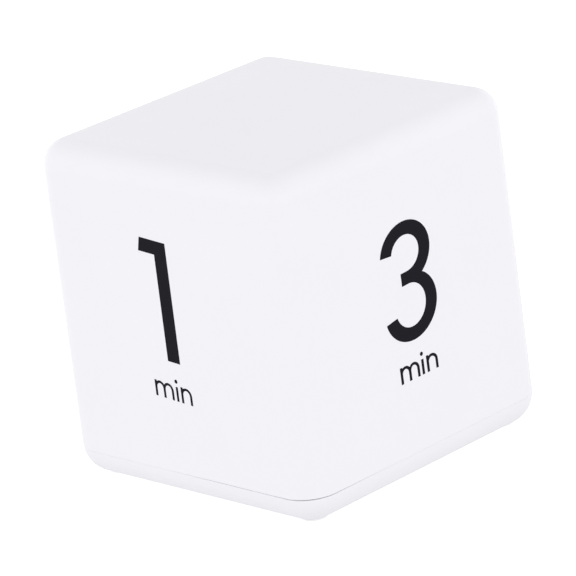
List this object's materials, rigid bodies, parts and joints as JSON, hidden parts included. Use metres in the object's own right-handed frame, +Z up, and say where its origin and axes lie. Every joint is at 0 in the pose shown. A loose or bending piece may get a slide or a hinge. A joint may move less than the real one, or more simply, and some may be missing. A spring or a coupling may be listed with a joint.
{
  "type": "cube timer",
  "caption": "Cube-shaped kitchen timer: white moulded housing on a base cover with battery door, display, slide switch, buzzer and tilt sensor.",
  "frame": {"origin": "middle of the base, on the surface that the cube stands on", "axes": "+Z up out of the blank top; -Y out of the face marked 1, +X out of the face marked 3, +Y out of the face marked 5, -X out of the face marked 10"},
  "size_m": [0.062, 0.062, 0.064],
  "materials": {
    "white_abs": "satin white moulded ABS",
    "black_print": "black pad-printed ink",
    "black_plastic": "matt black moulded plastic",
    "nickel_plated_steel": "bright nickel plate",
    "screw_steel": "zinc-plated screw steel",
    "brass": "rolled brass",
    "ceramic": "silvered piezo ceramic",
    "cell_jacket": "shrink-wrapped cell jacket, unprinted",
    "clear_lens": "clear polished acrylic",
    "display_glass": "grey-green reflective display glass",
    "silicone_rubber": "striped conductive silicone rubber",
    "circuit_board": "green solder resist",
    "black_epoxy": "black epoxy",
    "blue_sleeve": "blue capacitor sleeve",
    "red_lead": "red PVC insulation",
    "black_lead": "black PVC insulation"
  },
  "bodies": {
    "case": {"housing": "white_abs", "base_cover": "white_abs", "battery_cell_1": "cell_jacket", "battery_cell_2": "cell_jacket", "battery_spring_1": "nickel_plated_steel", "battery_spring_2": "nickel_plated_steel", "bridge_contact": "nickel_plated_steel", "positive_contact": "nickel_plated_steel", "negative_contact": "nickel_plated_steel", "lcd_window": "clear_lens", "lcd_glass": "display_glass", "lcd_holder": "white_abs", "zebra_strip": "silicone_rubber", "main_board": "circuit_board", "chip_blob": "black_epoxy", "crystal": "nickel_plated_steel", "capacitor": "blue_sleeve", "boost_coil": "black_epoxy", "transistor": "black_epoxy", "tilt_housing": "black_epoxy", "tilt_cap": "black_epoxy", "tilt_pin_1": "brass", "tilt_pin_2": "brass", "tilt_pin_3": "brass", "tilt_pin_4": "brass", "switch_frame": "nickel_plated_steel", "buzzer_disc": "brass", "buzzer_ceramic": "ceramic", "battery_lead_red": "red_lead", "battery_lead_black": "black_lead", "buzzer_lead_red": "red_lead", "buzzer_lead_black": "black_lead", "base_screw_1": "screw_steel", "base_screw_2": "screw_steel", "base_screw_3": "screw_steel", "base_screw_4": "screw_steel", "board_screw_1": "screw_steel", "board_screw_2": "screw_steel", "board_screw_3": "screw_steel", "numeral_1": "black_print", "numeral_3": "black_print", "numeral_5": "black_print", "numeral_10_one": "black_print", "numeral_10_zero": "black_print"},
    "door": {"battery_door": "white_abs", "door_catch": "white_abs"},
    "switch": {"switch_knob": "black_plastic"},
    "ball": {"tilt_ball": "nickel_plated_steel"}
  },
  "joints": [
    {"name": "door_hinge", "type": "hinge", "parent": "case", "child": "door", "pos_m": [-0.0235, -0.0092, 0.0002], "axis": [0, 1, 0], "range_deg": [0, 55], "deforming": ["door_catch"]},
    {"name": "switch_slide", "type": "slide", "parent": "case", "child": "switch", "axis": [1, 0, 0], "range_m": [0, 0.004]},
    {"name": "ball_slide", "type": "slide", "parent": "case", "child": "ball", "axis": [1, 0, 0], "range_m": [-0.0012, 0.0012]}
  ]
}
